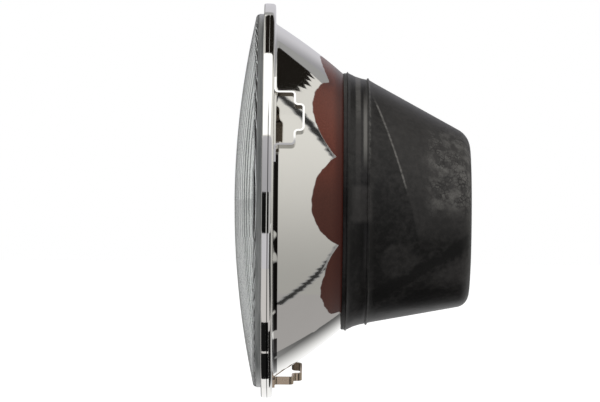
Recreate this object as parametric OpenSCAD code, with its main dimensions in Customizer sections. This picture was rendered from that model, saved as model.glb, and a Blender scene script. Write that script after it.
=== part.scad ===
// Halogen headlight insert: a domed glass lens crimped into a pressed steel reflector, with a
// two-filament bulb, a sidelight and a rubber boot behind it. The lamp's axis is X: the lens
// faces -X and the boot faces +X. The origin is on the axis, in the middle of the rim band.

/* [Rim and reflector] */
// Outer radius of the rim band
rim_r = 90; // [88:0.5:92]
// Width of the rim band along the axis
band_w = 5.2; // [4.8:0.1:6]
// Thickness of the pressed steel sheet
sheet_t = 0.8; // [0.6:0.1:1]
// Outside radius of the band's two corners
band_corner = 1.2; // [1.1:0.1:1.6]
// Width of the flange from the band to where the bowl begins
flange_w = 9.8; // [9:0.1:11]
// Radius of the fillet between the flange and the bowl
turn_fillet = 2.2; // [1.6:0.1:2.8]
// Focal length of the parabolic bowl
focal = 25.5; // [25:0.1:26.5]
// Radius of the flat land round the bulb's hole
land_r = 29; // [28:0.5:30]
// Radius of the bulb's hole in the land
land_hole_r = 21; // [20:0.5:21.5]

/* [Lens] */
// How far the lens's side wall stands in from the outside of the rim band
lens_inset = 4.8; // [4.2:0.1:5.4]
// Radius of the lens's domed front
lens_dome_r = 384; // [340:2:420]
// Height of the lens's side wall in front of the rim
lens_wall_h = 3.8; // [3:0.1:5]
// Rounding of the lens's front edge
lens_edge = 2; // [1.5:0.1:2.5]
// Thickness of the glass at the front
glass_t = 4; // [3.4:0.1:4.6]
// Thickness of the lens's side wall
glass_wall = 3.8; // [3.2:0.1:4]
// Width of a vertical flute inside the lens
flute_pitch = 7; // [6.6:0.1:8]
// Depth of a flute
flute_depth = 0.4; // [0.3:0.05:0.5]
// How much thicker the glass is in every other row of flutes
row_step = 0.6; // [0.55:0.05:0.8]
// Clearance between the lens and the crimped lip
lip_gap = 0.6; // [0.4:0.1:1]
// Clearance between the lens's foot and the inside of the band
foot_gap = 0.4; // [0.4:0.1:0.8]
// Thickness of the seal behind the lens's foot
seal_t = 1.2; // [0.8:0.1:1.4]

/* [Boot] */
// Outer radius of the boot's lip, where it lies on the bowl
boot_r = 58.5; // [57:0.5:60]
// Length of the boot's straight base band
boot_band = 12.2; // [11.5:0.1:13]
// Length of the boot's cone, from the base band to its back
boot_len = 46.6; // [45.5:0.1:48]
// How much smaller the cone's radius is than the lip's, where the cone leaves the base band
band_taper = 3.2; // [2.8:0.1:3.6]
// Width of the boot's lip on the bowl
lip_w = 3.3; // [3:0.1:3.8]
// Radius of the cone at its back, before its edge is rounded
boot_back_r = 39.3; // [37.5:0.1:41]
// How far the boot's back is set below the axis
boot_drop = 8.3; // [6:0.1:9]
// Rounding of the boot's back edge
boot_edge = 8; // [6:0.5:10]
// How far the back is domed
boot_dome = 0.8; // [0.4:0.1:1.2]
// Wall of the rubber
boot_wall = 2.6; // [2.2:0.1:3]
// Radius of the dish in the back
dish_r = 17; // [16.5:0.5:19]
// Depth of the dish
dish_depth = 4; // [3.5:0.1:4.4]
// Radius of the hole for the connector
lead_r = 12.5; // [12:0.1:13]
// Clearance between the boot's lip and the bowl
boot_gap = 0.15; // [0.1:0.05:0.3]

/* [Collar under the boot] */
// Gap between the collar's wall and the inside of the boot's cone
collar_gap = 1.3; // [1.1:0.1:1.6]
// How far the collar's edge is turned out
collar_lip = 2.6; // [2:0.1:2.8]
// Clearance round the collar's turned-out edge in the boot's groove
groove_gap = 0.2; // [0.1:0.05:0.3]

/* [Spring clips] */
// Places of the clips round the rim, as angles from the far side towards the top
clip_angles = [154.6, 290, 20];
// Thickness of the spring strip
strip_t = 0.9; // [0.7:0.1:1.1]
// Width of the strip, measured along the lamp's radius
strip_w = 3.8; // [3.2:0.1:4]
// Bend radius at the middle of the strip
strip_bend = 1.5; // [1:0.1:1.8]
// Half the distance between the strip's outer legs
clip_half = 12.8; // [12:0.1:14]
// Half the width of the clip's raised middle
clip_top_half = 6.3; // [5:0.1:7]
// Length of each tail on the flange
clip_tail = 8; // [6:0.5:9]
// Height of the clip's shoulders above the flange
clip_shoulder = 9.1; // [8:0.1:10]
// Height of the clip's raised middle above the flange
clip_top = 13; // [12.2:0.1:14]
// Gap between the bowl's fillet and the inner edge of a clip
clip_inset = 0.4; // [0.3:0.1:0.6]

/* [Bulb seat and bail] */
// Distance from the bowl's focus back to the seat
bulb_reach = 26; // [25.5:0.1:26.5]
// Thickness of the seat's sheet
seat_t = 0.9; // [0.7:0.1:1.1]
// Width of the seat's foot on the land
foot_w = 6.5; // [6:0.1:6.7]
// Radius of the hole in the seat
seat_hole_r = 18.5; // [18:0.1:18.8]
// Radius of the circle of rivets
rivet_pcd_r = 25.3; // [25:0.1:25.6]
// Radius of a rivet's shank
rivet_r = 1.2; // [1:0.1:1.4]
// Radius of the bail's wire
wire_r = 0.7; // [0.6:0.05:0.8]
// Half the distance between the bail's legs
bail_half = 15.5; // [15:0.1:15.8]
// Height of the bail's pivot above the axis
pivot_z = 19.5; // [19:0.1:20]
// Depth of the bail's closed end below the axis
bail_end_z = 23.4; // [23:0.1:24]
// Bend radius of the wire
wire_bend = 2.4; // [2:0.1:3]

/* [Bulb] */
// Radius of the disc of the bulb's flange
bulb_disc_r = 19.3; // [19:0.1:19.6]
// Radius over the flange's three lugs
lug_r = 21.5; // [21:0.1:21.8]
// Thickness of the flange
bulb_disc_t = 0.8; // [0.6:0.1:1]
// Radius of the bulb's metal sleeve
sleeve_r = 9.6; // [9.4:0.1:10]
// Length of the sleeve in front of the seat
sleeve_len = 13; // [12:0.5:14]
// Radius of the cup behind the flange
cup_r = 13; // [12.6:0.1:13.4]
// Length of the cup
cup_len = 6.4; // [5.5:0.1:7]
// Wall of the sleeve and the cup
cup_wall = 0.7; // [0.5:0.1:0.8]
// Length of the insulator behind the flange
block_len = 11.4; // [11:0.1:12]
// Radius of the bulb's glass
bulb_r = 8.5; // [8.2:0.1:8.6]
// Distance from the seat to the tip of the glass
bulb_len = 48; // [46:0.5:50]
// Wall of the bulb's glass
bulb_wall = 1.1; // [0.8:0.1:1.2]
// Width of a blade terminal
blade_w = 7.9; // [7.8:0.1:8]
// Thickness of a blade terminal
blade_t = 0.8; // [0.6:0.1:0.9]
// Distance of each blade from the axis
blade_off = 8.6; // [8.4:0.1:8.8]
// Length of a blade behind the insulator
blade_len = 11; // [9:0.5:11.5]
// Radius of the lead wires inside the glass
lead_wire_r = 0.4; // [0.3:0.05:0.5]
// Radius of a filament's coil
coil_r = 0.7; // [0.5:0.05:0.8]
// Distance from the seat forward to the middle of the dip filament
dip_reach = 31; // [30.6:0.1:31.4]
// Distance from the seat forward to the middle of the main filament
main_reach = 24.5; // [24:0.1:24.8]
// How far the filaments' leads and legs reach past what they join
lead_past = 0.6; // [0.4:0.1:0.8]
// Outer radius of the dip filament's shield
shield_r = 5.05; // [4.8:0.05:5.1]

/* [Sidelight] */
// Distance of the sidelight below the axis
side_drop = 37.5; // [37.2:0.1:38]
// Inner radius of the sidelight's tube
side_tube_r = 6.2; // [6.1:0.1:6.4]
// Wall of the sidelight's tube
side_tube_t = 0.7; // [0.6:0.1:0.8]
// Distance from the bulb's seat forward to the end of the sidelight's tube
side_tube_back = 3.2; // [3:0.1:4]
// Radius of the sidelight bulb's cap
side_cap_r = 4.6; // [4.5:0.05:4.8]
// Radius of the sidelight bulb's glass
side_glass_r = 4.4; // [4.2:0.1:4.5]
// Width of the sidelight's spade terminal
side_blade_w = 6.3; // [6:0.1:6.5]
// Clearance of parts that slide into each other
slip = 0.05; // [0.04:0.01:0.1]

/* [Hidden] */
$fn = 128;

// The bowl is a paraboloid whose flange lies at the back of the band.
rim_front = -band_w / 2;
rim_back = band_w / 2;
turn_r = rim_r - flange_w;
function bowl_slope(r) = norm([r, 2 * focal]);
function bowl_normal(r) = [r, 2 * focal] / bowl_slope(r);
bowl_x = rim_back + turn_fillet * (1 - bowl_normal(turn_r)[1]) + turn_r * turn_r / (4 * focal);
function bowl_at(r) = bowl_x - r * r / (4 * focal);
fillet_centre = [turn_r, bowl_at(turn_r)] + turn_fillet * bowl_normal(turn_r);
land_x = bowl_at(land_r);
focus_x = bowl_x - focal;
seat_x = focus_x + bulb_reach;

// The lens is a dome whose edge is rounded into a straight wall with a foot.
lens_r = rim_r - lens_inset;
edge_x = rim_front - lens_wall_h;
dome_tilt = asin((lens_r - lens_edge) / (lens_dome_r - lens_edge));
dome_x = edge_x + lens_edge + (lens_dome_r - lens_edge) * cos(dome_tilt);
inner_dome_r = lens_dome_r - glass_t;
lens_in_r = lens_r - glass_wall;
rows = 5;
row_h = 2 * lens_in_r / rows;
function row_tilt(row) = asin(row * row_h / inner_dome_r);
foot_r = rim_r - sheet_t - foot_gap;
foot_front = rim_front + sheet_t;
foot_back = rim_back - sheet_t - seal_t;

// The boot starts on the bowl, and its cone is sheared downwards towards its back.
boot_x = bowl_at(boot_r) + boot_gap;
cone_r = boot_r - band_taper;
cone_in_r = cone_r - boot_wall;
cone_x = boot_x + boot_band;
boot_back_x = cone_x + boot_len;
collar_back = cone_x - sheet_t;
collar_out_r = cone_in_r - collar_gap;
collar_r = collar_out_r - sheet_t;

// The bulb hangs from its seat, and its back end stands inside the boot.
disc_back = seat_x + bulb_disc_t;
bail_x = disc_back + wire_r + slip;
block_back = disc_back + block_len;
pinch_len = 6;
pinch_inset = 3;
pinch_back = seat_x - pinch_inset;
dip_x = seat_x - dip_reach;
main_x = seat_x - main_reach;
dip_len = 5;
main_len = 4.4;
dip_leg_x = dip_x + dip_len / 2 - 0.3;
main_leg_x = main_x - main_len / 2 + 0.3;
shield_front = dip_x - dip_len / 2 - 1.5;
shield_len = dip_len + 2.6;
dip_z = 0.9;
main_z = -0.6;
lead_y = 4.9;
earth_z = -shield_r - lead_wire_r - slip;
side_back = seat_x - side_tube_back;

function reversed(list) = [for (i = [len(list) - 1 : -1 : 0]) list[i]];
function arc(centre, r, from, to, steps) =
    [for (i = [0 : steps]) let (a = from + (to - from) * i / steps) centre + r * [cos(a), sin(a)]];

// Turns the drawing plane to face along the lamp's axis: drawn x and y become Y and Z.
module facing(x = 0) {
    translate([x, 0, 0]) rotate([90, 0, 90]) children();
}

// A turned or pressed round form, from its outline as [radius, place along the axis].
module turned(outline) {
    facing() rotate_extrude() polygon(outline);
}

// The bowl's outline, moved inwards from its back face by a depth.
function bowl_line(from, to, depth, steps = 24) =
    [for (i = [0 : steps]) let (r = from + (to - from) * i / steps)
        [r, bowl_at(r)] - depth * bowl_normal(r)];

// A strip bent along a path of straight runs, as the outline of its edge.
function turn_left(v) = [-v[1], v[0]];
function along(path, i) = (path[i + 1] - path[i]) / norm(path[i + 1] - path[i]);
function bend_angle(a, b) = atan2(a[0] * b[1] - a[1] * b[0], a * b);
function spun(v, a) = [v[0] * cos(a) - v[1] * sin(a), v[0] * sin(a) + v[1] * cos(a)];
function bend_points(path, i, bend, off, steps) =
    let (d0 = along(path, i - 1), n0 = turn_left(d0), a = bend_angle(d0, along(path, i)))
    let (side = sign(a), cut = bend * tan(abs(a) / 2))
    let (centre = path[i] - d0 * cut + n0 * side * bend)
    [for (k = [0 : steps]) centre - spun(n0, a * k / steps) * (side * bend - off)];
function strip_edge(path, bend, off, steps = 5) =
    let (last = len(path) - 1)
    concat([path[0] + turn_left(along(path, 0)) * off],
        [for (i = [1 : last - 1]) for (p = bend_points(path, i, bend, off, steps)) p],
        [path[last] + turn_left(along(path, last - 1)) * off]);
function strip_outline(path, bend, t) =
    concat(strip_edge(path, bend, t / 2), reversed(strip_edge(path, bend, -t / 2)));

// A round wire bent along a flat path of straight runs.
module wire(path, bend, r) {
    last = len(path) - 1;
    turns = [for (i = [0 : last]) i == 0 || i == last ? 0
        : bend_angle(along(path, i - 1), along(path, i))];
    for (i = [0 : last - 1]) {
        d = along(path, i);
        start = path[i] + d * bend * tan(abs(turns[i]) / 2);
        end = path[i + 1] - d * bend * tan(abs(turns[i + 1]) / 2);
        translate([start[0], start[1], 0]) rotate([0, 0, atan2(d[1], d[0])])
            rotate([0, 90, 0]) cylinder(r = r, h = norm(end - start));
    }
    for (i = [1 : last - 1]) {
        d = along(path, i - 1);
        side = sign(turns[i]);
        centre = path[i] - d * bend * tan(abs(turns[i]) / 2) + turn_left(d) * side * bend;
        from = atan2(d[1], d[0]) - 90 * side;
        translate([centre[0], centre[1], 0]) rotate([0, 0, side > 0 ? from : from + turns[i]])
            rotate_extrude(angle = abs(turns[i])) translate([bend, 0]) circle(r = r);
    }
}

// One row of flutes, as the space behind them: the row is tilted to follow the dome.
module flute_row(row) {
    z = row * row_h;
    thicker = row % 2 == 0 ? 0 : row_step;
    half = ceil(lens_in_r / flute_pitch - 0.5);
    crests = [for (i = [-half : half]) for (k = [0 : 3]) let (u = k / 4)
        let (y = (i - 0.5 + u) * flute_pitch)
            [inner_dome_r - sqrt(inner_dome_r * inner_dome_r - y * y)
                + flute_depth * (1 - 4 * (u - 0.5) * (u - 0.5)), y]];
    end_y = (half + 0.5) * flute_pitch;
    intersection() {
        translate([dome_x - inner_dome_r * cos(row_tilt(row)) + thicker, 0, z])
            rotate([0, row_tilt(row), 0]) translate([0, 0, -row_h])
                linear_extrude(2 * row_h)
                    polygon(concat(crests, [[2 * row_h, end_y], [2 * row_h, crests[0][1]]]));
        translate([edge_x - row_h, -end_y, z - row_h / 2]) cube([3 * row_h, 2 * end_y, row_h]);
    }
}

// The inside of the lens, from the flutes back to its open end.
module lens_inside() {
    intersection() {
        facing(edge_x - row_h) cylinder(r = lens_in_r, h = row_h + foot_back - edge_x + 1);
        union() {
            for (row = [-(rows - 1) / 2 : (rows - 1) / 2]) flute_row(row);
        }
    }
}

module lens() {
    outline = concat(
        [for (i = [0 : 16]) let (a = dome_tilt * i / 16)
            [lens_dome_r * sin(a), dome_x - lens_dome_r * cos(a)]],
        [for (i = [1 : 6]) let (a = dome_tilt + (90 - dome_tilt) * i / 6)
            [lens_r - lens_edge + lens_edge * sin(a), edge_x + lens_edge - lens_edge * cos(a)]],
        [[lens_r, foot_front], [foot_r, foot_front], [foot_r, foot_back], [0, foot_back]]);
    color([0.82, 0.87, 0.85, 0.5]) difference() {
        turned(outline);
        lens_inside();
    }
}

module lens_seal() {
    seal_in_r = fillet_centre[0] + 0.3;
    seal_out_r = foot_r - foot_gap;
    color([0.16, 0.16, 0.16])
        turned([[seal_in_r, foot_back], [seal_out_r, foot_back],
            [seal_out_r, rim_back - sheet_t], [seal_in_r, rim_back - sheet_t]]);
}

module reflector() {
    lip_r = lens_r + lip_gap;
    n = bowl_normal(turn_r);
    from = -atan2(n[1], n[0]) - 90;
    turn_back = 180 + atan2(n[1], n[0]);
    inner_corner = band_corner - sheet_t;
    outer = concat([[land_hole_r, land_x], [land_r, land_x]],
        bowl_line(land_r + 0.8, turn_r, 0),
        arc(fillet_centre, turn_fillet, turn_back, 270, 6),
        arc([rim_r - band_corner, rim_back - band_corner], band_corner, 90, 0, 5),
        arc([rim_r - band_corner, rim_front + band_corner], band_corner, 0, -90, 5),
        [[lip_r, rim_front], [lip_r, rim_front + sheet_t]]);
    inner = concat(
        arc([rim_r - band_corner, rim_front + band_corner], inner_corner, -90, 0, 4),
        arc([rim_r - band_corner, rim_back - band_corner], inner_corner, 0, 90, 4),
        arc(fillet_centre, turn_fillet + sheet_t, 270, turn_back, 6),
        bowl_line(turn_r, land_r + 1.2, sheet_t),
        [[land_r - sheet_t / 2, land_x - sheet_t], [land_hole_r, land_x - sheet_t]]);
    color([0.78, 0.77, 0.74]) difference() {
        turned(concat(outer, inner));
        rivet_holes(land_x - sheet_t - 1, sheet_t + 2);
        translate([0, 0, -side_drop]) facing(focus_x - 10)
            cylinder(r = side_tube_r, h = seat_x - focus_x);
    }
}

// Holes for the seat's rivets through whatever lies between two places on the axis.
module rivet_holes(x, length) {
    for (a = [90, 210, 330])
        facing(x) rotate([0, 0, a]) translate([rivet_pcd_r, 0, 0])
            cylinder(r = rivet_r + slip, h = length);
}

// A spring clip: a strip with two tails on the flange and a stepped bridge between them,
// its edges cut to follow the rim.
module clip(angle) {
    half = strip_t / 2;
    path = [[-clip_half - clip_tail, half], [-clip_half, half], [-clip_half, clip_shoulder],
        [-clip_top_half, clip_shoulder], [-clip_top_half, clip_top], [clip_top_half, clip_top],
        [clip_top_half, clip_shoulder], [clip_half, clip_shoulder], [clip_half, half],
        [clip_half + clip_tail, half]];
    inner = fillet_centre[0] + clip_inset;
    facing(rim_back) rotate([0, 0, angle]) intersection() {
        translate([inner - strip_w, 0, 0]) rotate([90, 0, 90])
            linear_extrude(3 * strip_w) polygon(strip_outline(path, strip_bend, strip_t));
        difference() {
            translate([0, 0, -1]) cylinder(r = inner + strip_w, h = clip_top + 4);
            translate([0, 0, -2]) cylinder(r = inner, h = clip_top + 6);
        }
    }
}

module clip_near() {
    color([0.75, 0.74, 0.7]) clip(clip_angles[0]);
}

module clip_lower() {
    color([0.6, 0.53, 0.43]) clip(clip_angles[1]);
}

module clip_far() {
    color([0.75, 0.74, 0.7]) clip(clip_angles[2]);
}

// The collar stands on the bowl and its turned-out edge lies in the boot's groove.
module boot_collar() {
    lip_r = collar_out_r + collar_lip;
    color([0.6, 0.6, 0.58])
        turned([[collar_r, bowl_at(collar_r)], [collar_out_r, bowl_at(collar_out_r)],
            [collar_out_r, collar_back - sheet_t], [lip_r, collar_back - sheet_t],
            [lip_r, collar_back], [collar_r, collar_back]]);
}

module boot_base() {
    groove_r = collar_out_r + collar_lip + groove_gap;
    groove_front = collar_back - sheet_t - groove_gap;
    groove_back = collar_back + groove_gap;
    lip_in_r = boot_r - lip_w;
    mouth_r = cone_in_r + 0.9;
    fin_h = 0.6;
    fin_x = boot_x + 2;
    fin_t = 0.4;
    ridge_h = 1;
    ridge_w = 0.6;
    waist_x = boot_x + 5.6;
    step_x = boot_x + 8.6;
    outer = [[boot_r, boot_x], [boot_r, fin_x - 0.3], [boot_r + fin_h, fin_x],
        [boot_r + fin_h, fin_x + fin_t], [boot_r - 0.1, fin_x + fin_t + 0.3],
        [(boot_r + cone_r) / 2 + 0.2, waist_x], [cone_r + 0.8, step_x],
        [cone_r + 0.4, cone_x - 2 * ridge_w - 0.1], [cone_r + ridge_h, cone_x - ridge_w - 0.4],
        [cone_r + ridge_h, cone_x - 0.4], [cone_r, cone_x]];
    inner = [[cone_in_r, cone_x], [cone_in_r, groove_back], [groove_r, groove_back],
        [groove_r, groove_front], [cone_in_r + 0.1, groove_front],
        [mouth_r, bowl_at(mouth_r) + 1.2], [lip_in_r, bowl_at(lip_in_r) + boot_gap]];
    turned(concat(outer, inner));
}

// The cone is drawn upright and then sheared, so that its back lies lower than its base.
module boot_cone() {
    slope = (cone_r - boot_back_r) / boot_len;
    flat = boot_len - boot_dome;
    tilt = atan(slope);
    corner = [boot_back_r - boot_edge + slope * boot_edge * 0.6, flat - boot_edge];
    rest_r = boot_edge - boot_wall;
    shell = concat([[cone_r, 0]], arc(corner, boot_edge, tilt, 90, 6),
        [[dish_r, boot_len], [0, boot_len]],
        [[0, boot_len - boot_wall], [dish_r, boot_len - boot_wall]],
        arc(corner, rest_r, 90, tilt, 5), [[cone_in_r, 0]]);
    lean = -boot_drop / boot_len;
    translate([cone_x, 0, 0])
        multmatrix([[1, 0, 0, 0], [0, 1, 0, 0], [lean, 0, 1, 0], [0, 0, 0, 1]])
            facing() rotate_extrude() polygon(shell);
}

// The dish in the back and the thick-edged hole in it are centred on the lamp's axis.
dish_back = boot_back_x - 0.4;
dish_floor = dish_back - dish_depth;

module boot_dish() {
    wall = 2;
    bead_h = 1;
    bead_w = 1.4;
    bead_r = lead_r + bead_w;
    turned([[dish_r + 0.8, dish_back - wall], [dish_r + 0.8, dish_back], [dish_r - 1, dish_back],
        [dish_r - 1.8, dish_back - 1.4], [dish_r - wall, dish_floor],
        [bead_r + 0.2, dish_floor], [bead_r - 0.2, dish_floor + bead_h],
        [lead_r, dish_floor + bead_h], [lead_r, dish_floor - boot_wall - bead_h],
        [bead_r, dish_floor - boot_wall - bead_h], [bead_r + 0.4, dish_floor - boot_wall],
        [dish_r, dish_floor - boot_wall]]);
}

module boot() {
    color([0.13, 0.13, 0.13]) union() {
        boot_base();
        difference() {
            boot_cone();
            facing(dish_floor - 2 * boot_wall)
                cylinder(r = dish_r - 0.5, h = dish_depth + 3 * boot_wall);
        }
        boot_dish();
    }
}

// The seat is a pressed hat: a foot on the land, a tube and a rim that the bulb lies on,
// with two ears and a catch for the wire bail.
module bulb_seat() {
    foot_in = land_hole_r + seat_t;
    ear_y = bail_half + wire_r + 0.4;
    foot_top = land_x + seat_t;
    ear_h = bail_x + 1.8 - land_x;
    catch_z = bail_end_z + wire_r + 0.3;
    catch_w = 6;
    ear_w = 5.4;
    ear_low = pivot_z - 3;
    color([0.72, 0.72, 0.7]) difference() {
        union() {
            turned([[land_hole_r, land_x], [land_hole_r + foot_w + seat_t, land_x],
                [land_hole_r + foot_w + seat_t, foot_top], [foot_in, foot_top],
                [foot_in, seat_x], [seat_hole_r, seat_x], [seat_hole_r, seat_x - seat_t],
                [land_hole_r, seat_x - seat_t]]);
            for (s = [-1, 1])
                translate([land_x + 0.1, s > 0 ? ear_y : -ear_y - seat_t, ear_low])
                    cube([ear_h, seat_t, ear_w]);
            translate([land_x + 0.1, -catch_w / 2, -catch_z - seat_t])
                cube([ear_h, catch_w, seat_t]);
            translate([bail_x + wire_r + 0.2, -catch_w / 2, -catch_z - seat_t])
                cube([seat_t, catch_w, seat_t + 2 * wire_r + 1.4]);
        }
        rivet_holes(land_x - 1, seat_t + 2);
        translate([bail_x, -foot_w - ear_y, pivot_z]) rotate([-90, 0, 0])
            cylinder(r = wire_r + slip, h = 2 * (foot_w + ear_y));
    }
}

module seat_rivets() {
    head = 0.9;
    color([0.65, 0.65, 0.63]) for (a = [90, 210, 330])
        facing() rotate([0, 0, a]) translate([rivet_pcd_r, 0, 0]) rotate_extrude()
            polygon([[0, land_x - sheet_t - 0.5], [2 * rivet_r, land_x - sheet_t - 0.5],
                [2 * rivet_r, land_x - sheet_t], [rivet_r, land_x - sheet_t],
                [rivet_r, land_x + seat_t], [2 * rivet_r, land_x + seat_t],
                [1.7 * rivet_r, land_x + seat_t + head * 0.7], [0.8 * rivet_r, land_x + seat_t + head],
                [0, land_x + seat_t + head]]);
}

module bail() {
    tip = bail_half + wire_r + 0.4 + seat_t + 2.2;
    path = [[tip, pivot_z], [bail_half, pivot_z], [bail_half, -bail_end_z],
        [-bail_half, -bail_end_z], [-bail_half, pivot_z], [-tip, pivot_z]];
    color([0.7, 0.69, 0.66]) facing(bail_x) wire(path, wire_bend, wire_r);
}

module bulb_flange() {
    color([0.74, 0.73, 0.7]) facing(seat_x) linear_extrude(bulb_disc_t) difference() {
        union() {
            circle(r = bulb_disc_r);
            for (lug = [[90, 8], [210, 5], [330, 5]]) intersection() {
                circle(r = lug_r);
                rotate([0, 0, lug[0]]) translate([0, -lug[1] / 2]) square([lug_r + 1, lug[1]]);
            }
        }
        circle(r = sleeve_r + slip);
    }
}

module bulb_base() {
    in_r = sleeve_r - cup_wall;
    color([0.76, 0.75, 0.72])
        turned([[in_r, seat_x - sleeve_len], [sleeve_r, seat_x - sleeve_len],
            [sleeve_r, disc_back], [cup_r, disc_back], [cup_r, disc_back + cup_len],
            [cup_r - cup_wall, disc_back + cup_len], [cup_r - cup_wall, disc_back + cup_wall],
            [in_r, disc_back + cup_wall]]);
}

// A blade's place in the drawing plane: its middle and the angle of its width.
blades = [[[-blade_off, 0], 90], [[blade_off, 0], 90], [[0, blade_off], 0]];
blade_sink = 1;
blade_root = disc_back + cup_len - blade_sink;

module bulb_insulator() {
    r = cup_r - cup_wall - slip;
    front = disc_back + cup_wall + slip;
    color([0.2, 0.19, 0.18]) difference() {
        turned([[0, front], [r, front], [r, disc_back + cup_len + 1],
            [r - 1, block_back], [0, block_back]]);
        for (b = blades)
            facing(blade_root - slip) translate(b[0]) rotate([0, 0, b[1]])
                translate([-blade_w / 2 - slip, -blade_t / 2 - slip, 0])
                    cube([blade_w + 2 * slip, blade_t + 2 * slip, block_len]);
    }
}

// A flat blade with a chamfered end and a latch hole.
module blade(place) {
    length = block_back + blade_len - blade_root;
    chamfer = 1.5;
    latch_inset = 4;
    latch_r = 1.2;
    facing(blade_root) translate(place[0]) rotate([0, 0, place[1]])
        translate([0, blade_t / 2, 0]) rotate([90, 0, 0]) linear_extrude(blade_t) difference() {
            polygon([[-blade_w / 2, 0], [blade_w / 2, 0], [blade_w / 2, length - chamfer],
                [blade_w / 2 - chamfer, length], [chamfer - blade_w / 2, length],
                [-blade_w / 2, length - chamfer]]);
            translate([0, length - latch_inset]) circle(r = latch_r);
        }
}

module terminal_left() {
    color([0.8, 0.76, 0.66]) blade(blades[0]);
}

module terminal_right() {
    color([0.8, 0.76, 0.66]) blade(blades[1]);
}

module terminal_top() {
    color([0.8, 0.76, 0.66]) blade(blades[2]);
}

// The three lead wires as [y, z, front end].
leads = [[0, earth_z, shield_front - lead_past], [-lead_y, dip_z, dip_leg_x - lead_past],
    [lead_y, main_z, main_leg_x - lead_past]];

module bulb_glass() {
    tip = seat_x - bulb_len;
    in_r = bulb_r - bulb_wall;
    color([0.9, 0.93, 0.95, 0.4]) difference() {
        turned(concat([for (i = [0 : 8]) let (a = 90 * i / 8)
                [bulb_r * sin(a), tip + bulb_r - bulb_r * cos(a)]],
            [[bulb_r, pinch_back], [0, pinch_back], [0, pinch_back - pinch_len],
                [in_r - 2, pinch_back - pinch_len], [in_r, pinch_back - pinch_len - 2]],
            [for (i = [8 : -1 : 0]) let (a = 90 * i / 8)
                [in_r * sin(a), tip + bulb_r - in_r * cos(a)]]));
        for (l = leads)
            translate([0, l[0], l[1]]) facing(pinch_back - pinch_len - 1)
                cylinder(r = lead_wire_r + slip, h = pinch_len + 2);
    }
}

module bulb_leads() {
    back = disc_back + cup_wall;
    color([0.62, 0.62, 0.6]) for (l = leads)
        translate([0, l[0], l[1]]) facing(l[2]) cylinder(r = lead_wire_r, h = back - l[2]);
}

// The shield is a half tube with a closed front under the dip filament.
shield_t = 0.3;

module dip_shield() {
    color([0.66, 0.65, 0.62]) difference() {
        facing(shield_front) cylinder(r = shield_r, h = shield_len);
        facing(shield_front + shield_t) cylinder(r = shield_r - shield_t, h = shield_len);
        translate([shield_front - 1, -shield_r - 1, 0])
            cube([shield_len + 2, 2 * shield_r + 2, shield_r + 1]);
    }
}

// A coil, drawn as rings side by side, with a leg down and a leg to one side.
module filament(x, z, length, down_x, down_to, out_x, out_to) {
    turns = 8;
    leg = 0.2;
    groove = 0.15;
    pitch = length / turns;
    wave = [for (i = [0 : 2 * turns])
        [i % 2 == 0 ? coil_r - groove : coil_r, x + (i / 2 - turns / 2) * pitch]];
    translate([0, 0, z]) turned(concat([[0, x - length / 2]], wave, [[0, x + length / 2]]));
    translate([down_x, 0, down_to]) cylinder(r = leg, h = z - down_to);
    translate([out_x, 0, z]) rotate([out_to > 0 ? -90 : 90, 0, 0]) cylinder(r = leg, h = abs(out_to));
}

lead_face_y = lead_y - lead_wire_r - slip;

module dip_filament() {
    color([0.5, 0.5, 0.5]) filament(dip_x, dip_z, dip_len, 2 * dip_x - dip_leg_x,
        shield_t + slip - shield_r, dip_leg_x, -lead_face_y);
}

module main_filament() {
    color([0.5, 0.5, 0.5]) filament(main_x, main_z, main_len, 2 * main_x - main_leg_x,
        earth_z + lead_wire_r + slip, main_leg_x, lead_face_y);
}

module on_side_axis() {
    translate([0, 0, -side_drop]) children();
}

// The tube's front edge is cut to the bowl's back.
module side_tube() {
    r = side_tube_r + side_tube_t;
    start = bowl_at(side_drop + r) - 2;
    color([0.7, 0.7, 0.68]) difference() {
        on_side_axis() facing(start) cylinder(r = r, h = side_back - start);
        on_side_axis() facing(start - 1) cylinder(r = side_tube_r, h = side_back - start + 2);
        turned(concat([[0, start - r], [0, bowl_at(side_drop - 2 * r)]],
            bowl_line(side_drop - 2 * r, side_drop + 2 * r, 0), [[side_drop + 2 * r, start - r]]));
    }
}

side_plug_len = 9;
side_flange_t = 2.2;
side_boss_len = 6;
side_boss_back = side_back + side_flange_t + side_boss_len;

module side_holder() {
    r = side_tube_r - slip;
    bore = side_cap_r + slip;
    front = side_back - side_plug_len;
    color([0.24, 0.23, 0.22]) difference() {
        on_side_axis() turned([[bore, front], [r, front], [r, side_back], [r + 2.1, side_back],
            [r + 2.1, side_back + side_flange_t], [r - 1, side_back + side_flange_t],
            [r - 1, side_boss_back], [0, side_boss_back], [0, side_back + 1], [bore, side_back + 1]]);
        on_side_axis() facing(side_back + side_flange_t)
            translate([-side_blade_w / 2 - slip, -blade_t / 2 - slip, 0])
                cube([side_blade_w + 2 * slip, blade_t + 2 * slip, side_boss_len + 1]);
    }
}

module side_cap() {
    back = side_back + 1 - slip;
    front = back - 12;
    in_r = side_cap_r - 0.5;
    color([0.78, 0.68, 0.42]) on_side_axis()
        turned([[in_r, front], [side_cap_r, front], [side_cap_r, back - 1], [2, back - 0.6],
            [1.6, back], [0, back], [0, back - 1.6], [in_r, back - 1.6]]);
}

side_glass_back = side_back - 8;
side_tip = side_glass_back - 12;

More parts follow.
